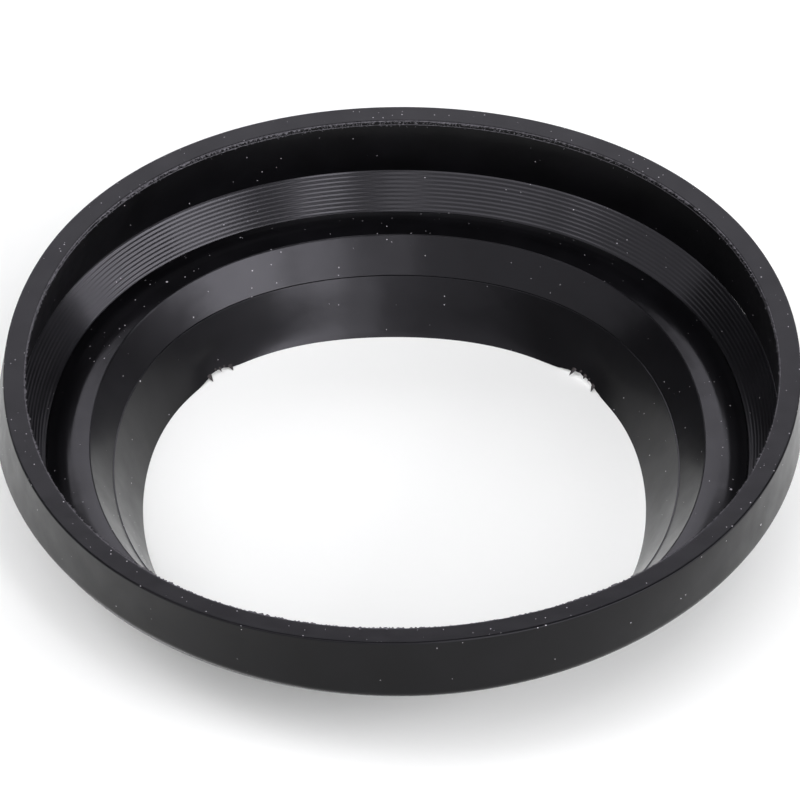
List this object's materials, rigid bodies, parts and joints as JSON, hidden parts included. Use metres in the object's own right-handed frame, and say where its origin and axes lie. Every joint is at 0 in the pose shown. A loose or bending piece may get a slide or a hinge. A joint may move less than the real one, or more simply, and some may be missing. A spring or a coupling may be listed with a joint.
{
  "type": "rubber lens hood",
  "caption": "Short round collapsible rubber lens hood with a stepped, ribbed inside, a folding front barrel and a screw-in mounting ring.",
  "frame": {"origin": "centre of the circle that the rear lip stands on, in the plane of the hood's rear end", "axes": "+Z along the optical axis from the lens towards the subject, so the open front rim faces up; +X to the right and +Y away from the viewer of the reference view"},
  "size_m": [0.0976, 0.0976, 0.0228],
  "materials": {
    "hood_rubber": "semi-matte moulded black rubber",
    "ring_anodised": "black anodised, satin"
  },
  "bodies": {
    "mount": {"mounting_ring": "ring_anodised", "mount_collar": "hood_rubber", "inner_cone": "hood_rubber", "step_shelf": "hood_rubber"},
    "front": {"front_barrel": "hood_rubber", "ribbed_web": "hood_rubber"}
  },
  "joints": [
    {"name": "front_fold", "type": "slide", "parent": "mount", "child": "front", "axis": [0, 0, -1], "range_m": [0, 0.0078], "deforming": ["ribbed_web"]}
  ]
}
